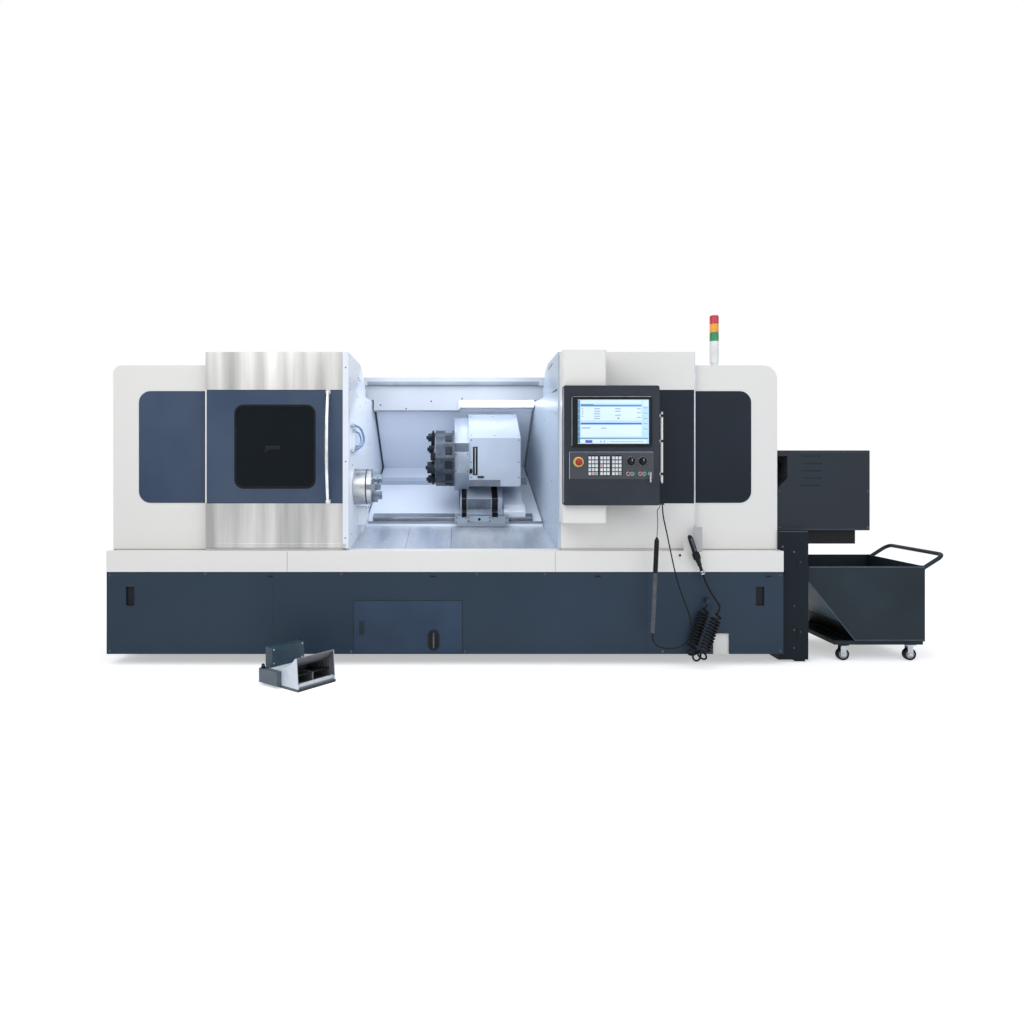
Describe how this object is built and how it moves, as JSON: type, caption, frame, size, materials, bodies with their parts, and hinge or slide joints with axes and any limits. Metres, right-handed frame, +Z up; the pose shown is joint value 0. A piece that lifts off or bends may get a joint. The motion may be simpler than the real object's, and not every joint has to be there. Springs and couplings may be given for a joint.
{
  "type": "turning lathe",
  "caption": "Enclosed slant-bed turning lathe with sliding doors, chuck, tool turret, operator panel, chip conveyor, chip cart, foot switch and coolant gun.",
  "frame": {"origin": "on the floor under the middle of the whole set's box", "axes": "+X along the spindle to the chip conveyor, +Y to the rear, +Z up"},
  "size_m": [5.01, 2.276, 2.09],
  "materials": {
    "cream_paint": "satin",
    "navy_paint": "satin",
    "panel_paint": "textured",
    "slate_paint": "satin",
    "grey_paint": "satin",
    "cast_iron": "painted",
    "steel": "ground",
    "way_cover_steel": "brushed",
    "bright_metal": "polished",
    "window_glass": "clear",
    "screen_black": "glossy",
    "black_plastic": "matte",
    "red_plastic": "glossy",
    "green_plastic": "glossy",
    "lamp_body": "glossy",
    "grip_rubber": "matte",
    "wheel_rubber": "matte"
  },
  "bodies": {
    "machine": {"bed_casting": "cast_iron", "base_band": "cream_paint", "base_skirt": "navy_paint", "access_cover": "navy_paint", "level_gauge": "bright_metal", "levelling_feet": "steel", "left_guard": "cream_paint", "right_guard": "cream_paint", "headstock_partition": "cream_paint", "headstock": "grey_paint", "rear_guard": "cream_paint", "floor_plates": "steel", "top_frame": "cream_paint", "work_lamp": "lamp_body", "signal_tower": "lamp_body", "conveyor_body": "slate_paint", "conveyor_head": "slate_paint", "gun_holder": "cream_paint", "spray_gun": "black_plastic", "gun_hose": "grip_rubber", "pedal_housing": "grey_paint", "rear_cabinet": "cream_paint"},
    "left_door_body": {"left_door": "cream_paint", "left_door_window": "window_glass", "left_door_handle": "bright_metal"},
    "right_door_body": {"right_door": "cream_paint", "panel_column": "cream_paint", "control_box": "panel_paint", "screen": "screen_black", "key_plate": "black_plastic", "grab_bar": "cream_paint", "inspection_lamp": "grip_rubber", "lamp_cord": "grip_rubber"},
    "spindle_body": {"spindle": "steel", "chuck": "steel"},
    "saddle_body": {"saddle": "grey_paint"},
    "cross_slide_body": {"cross_slide": "way_cover_steel"},
    "turret_body": {"turret": "steel", "turret_tools": "steel"},
    "cart": {"cart_body": "slate_paint"},
    "emergency_stop_body": {"emergency_stop": "red_plastic"},
    "push_button_1_body": {"push_button_1": "red_plastic"},
    "push_button_2_body": {"push_button_2": "green_plastic"},
    "push_button_3_body": {"push_button_3": "red_plastic"},
    "push_button_4_body": {"push_button_4": "green_plastic"},
    "override_knob_1_body": {"override_knob_1": "black_plastic"},
    "override_knob_2_body": {"override_knob_2": "black_plastic"},
    "key_switch_body": {"key_switch": "steel"},
    "chuck_jaw_1_body": {"chuck_jaw_1": "steel"},
    "chuck_jaw_2_body": {"chuck_jaw_2": "steel"},
    "chuck_jaw_3_body": {"chuck_jaw_3": "steel"},
    "gun_trigger_body": {"gun_trigger": "steel"},
    "foot_pedal_1_body": {"foot_pedal_1": "black_plastic"},
    "foot_pedal_2_body": {"foot_pedal_2": "black_plastic"},
    "swivel_fork_1_body": {"swivel_fork_1": "grey_paint"},
    "swivel_fork_2_body": {"swivel_fork_2": "grey_paint"},
    "cart_wheel_1_body": {"cart_wheel_1": "wheel_rubber"},
    "cart_wheel_2_body": {"cart_wheel_2": "wheel_rubber"},
    "cart_wheel_3_body": {"cart_wheel_3": "wheel_rubber"},
    "cart_wheel_4_body": {"cart_wheel_4": "wheel_rubber"}
  },
  "joints": [
    {"name": "left_door_slide", "type": "slide", "parent": "machine", "child": "left_door_body", "axis": [1, 0, 0], "range_m": [0, 0.78]},
    {"name": "right_door_slide", "type": "slide", "parent": "machine", "child": "right_door_body", "axis": [1, 0, 0], "range_m": [-0.4635, 0]},
    {"name": "emergency_stop_push", "type": "slide", "parent": "right_door_body", "child": "emergency_stop_body", "axis": [0, 1, 0], "range_m": [0, 0.005], "stiffness_N_per_m": 1500, "springref_m": -0.002},
    {"name": "push_button_1_press", "type": "slide", "parent": "right_door_body", "child": "push_button_1_body", "axis": [0, 1, 0], "range_m": [0, 0.003], "stiffness_N_per_m": 600, "springref_m": -0.002},
    {"name": "push_button_2_press", "type": "slide", "parent": "right_door_body", "child": "push_button_2_body", "axis": [0, 1, 0], "range_m": [0, 0.003], "stiffness_N_per_m": 600, "springref_m": -0.002},
    {"name": "push_button_3_press", "type": "slide", "parent": "right_door_body", "child": "push_button_3_body", "axis": [0, 1, 0], "range_m": [0, 0.003], "stiffness_N_per_m": 600, "springref_m": -0.002},
    {"name": "push_button_4_press", "type": "slide", "parent": "right_door_body", "child": "push_button_4_body", "axis": [0, 1, 0], "range_m": [0, 0.003], "stiffness_N_per_m": 600, "springref_m": -0.002},
    {"name": "override_knob_1_turn", "type": "hinge", "parent": "right_door_body", "child": "override_knob_1_body", "pos_m": [0.547, -0.752, 1.199], "axis": [0, 1, 0], "range_deg": [-120, 120]},
    {"name": "override_knob_2_turn", "type": "hinge", "parent": "right_door_body", "child": "override_knob_2_body", "pos_m": [0.613, -0.752, 1.199], "axis": [0, 1, 0], "range_deg": [-120, 120]},
    {"name": "key_switch_turn", "type": "hinge", "parent": "right_door_body", "child": "key_switch_body", "pos_m": [0.651, -0.752, 1.128], "axis": [0, 1, 0], "range_deg": [0, 90]},
    {"name": "spindle_turn", "type": "hinge", "parent": "machine", "child": "spindle_body", "pos_m": [-1.115, -0.31201, 1.044], "axis": [1, 0, 0], "continuous": true},
    {"name": "chuck_jaw_1_slide", "type": "slide", "parent": "spindle_body", "child": "chuck_jaw_1_body", "axis": [0, -1, 0], "range_m": [-0.006, 0.006]},
    {"name": "chuck_jaw_2_slide", "type": "slide", "parent": "spindle_body", "child": "chuck_jaw_2_body", "axis": [0, 0.5, -0.866], "range_m": [-0.006, 0.006]},
    {"name": "chuck_jaw_3_slide", "type": "slide", "parent": "spindle_body", "child": "chuck_jaw_3_body", "axis": [0, 0.5, 0.866], "range_m": [-0.006, 0.006]},
    {"name": "saddle_slide", "type": "slide", "parent": "machine", "child": "saddle_body", "axis": [1, 0, 0], "range_m": [-0.24, 0.1]},
    {"name": "cross_slide_slide", "type": "slide", "parent": "saddle_body", "child": "cross_slide_body", "axis": [0, 0.891, 0.454], "range_m": [-0.255, 0]},
    {"name": "turret_index", "type": "hinge", "parent": "cross_slide_body", "child": "turret_body", "pos_m": [-0.462, 0.04796, 1.22741], "axis": [1, 0, 0], "continuous": true},
    {"name": "cart_roll", "type": "slide", "parent": "machine", "child": "cart", "axis": [1, 0, 0], "range_m": [0, 0.6]},
    {"name": "cart_swivel_1", "type": "hinge", "parent": "cart", "child": "swivel_fork_1_body", "pos_m": [2.31, -0.472, 0.096], "axis": [0, 0, 1], "continuous": true},
    {"name": "cart_swivel_2", "type": "hinge", "parent": "cart", "child": "swivel_fork_2_body", "pos_m": [2.31, 0.078, 0.096], "axis": [0, 0, 1], "continuous": true},
    {"name": "cart_wheel_1_spin", "type": "hinge", "parent": "cart", "child": "cart_wheel_1_body", "pos_m": [1.888, -0.472, 0.0365], "axis": [0, 1, 0], "continuous": true},
    {"name": "cart_wheel_2_spin", "type": "hinge", "parent": "cart", "child": "cart_wheel_2_body", "pos_m": [1.888, 0.078, 0.0365], "axis": [0, 1, 0], "continuous": true},
    {"name": "cart_wheel_3_spin", "type": "hinge", "parent": "swivel_fork_1_body", "child": "cart_wheel_3_body", "pos_m": [2.292, -0.472, 0.0365], "axis": [0, 1, 0], "continuous": true},
    {"name": "cart_wheel_4_spin", "type": "hinge", "parent": "swivel_fork_2_body", "child": "cart_wheel_4_body", "pos_m": [2.292, 0.078, 0.0365], "axis": [0, 1, 0], "continuous": true},
    {"name": "gun_trigger_squeeze", "type": "hinge", "parent": "machine", "child": "gun_trigger_body", "pos_m": [0.91795, -0.663, 0.74721], "axis": [0.9432, 0, 0.3322], "range_deg": [0, 3.8], "stiffness_Nm_per_rad": 0.5, "springref_deg": -11.46},
    {"name": "foot_pedal_1_press", "type": "hinge", "parent": "machine", "child": "foot_pedal_1_body", "pos_m": [-1.38073, -0.95795, 0.034], "axis": [0.6225, 0.7826, 0], "range_deg": [0, 8], "stiffness_Nm_per_rad": 3, "springref_deg": -10.03},
    {"name": "foot_pedal_2_press", "type": "hinge", "parent": "machine", "child": "foot_pedal_2_body", "pos_m": [-1.30229, -0.85934, 0.034], "axis": [0.6225, 0.7826, 0], "range_deg": [0, 8], "stiffness_Nm_per_rad": 3, "springref_deg": -10.03}
  ],
  "couplings": [
    {"joint": "chuck_jaw_2_slide", "follows": "chuck_jaw_1_slide", "ratio": 1},
    {"joint": "chuck_jaw_3_slide", "follows": "chuck_jaw_1_slide", "ratio": 1}
  ]
}
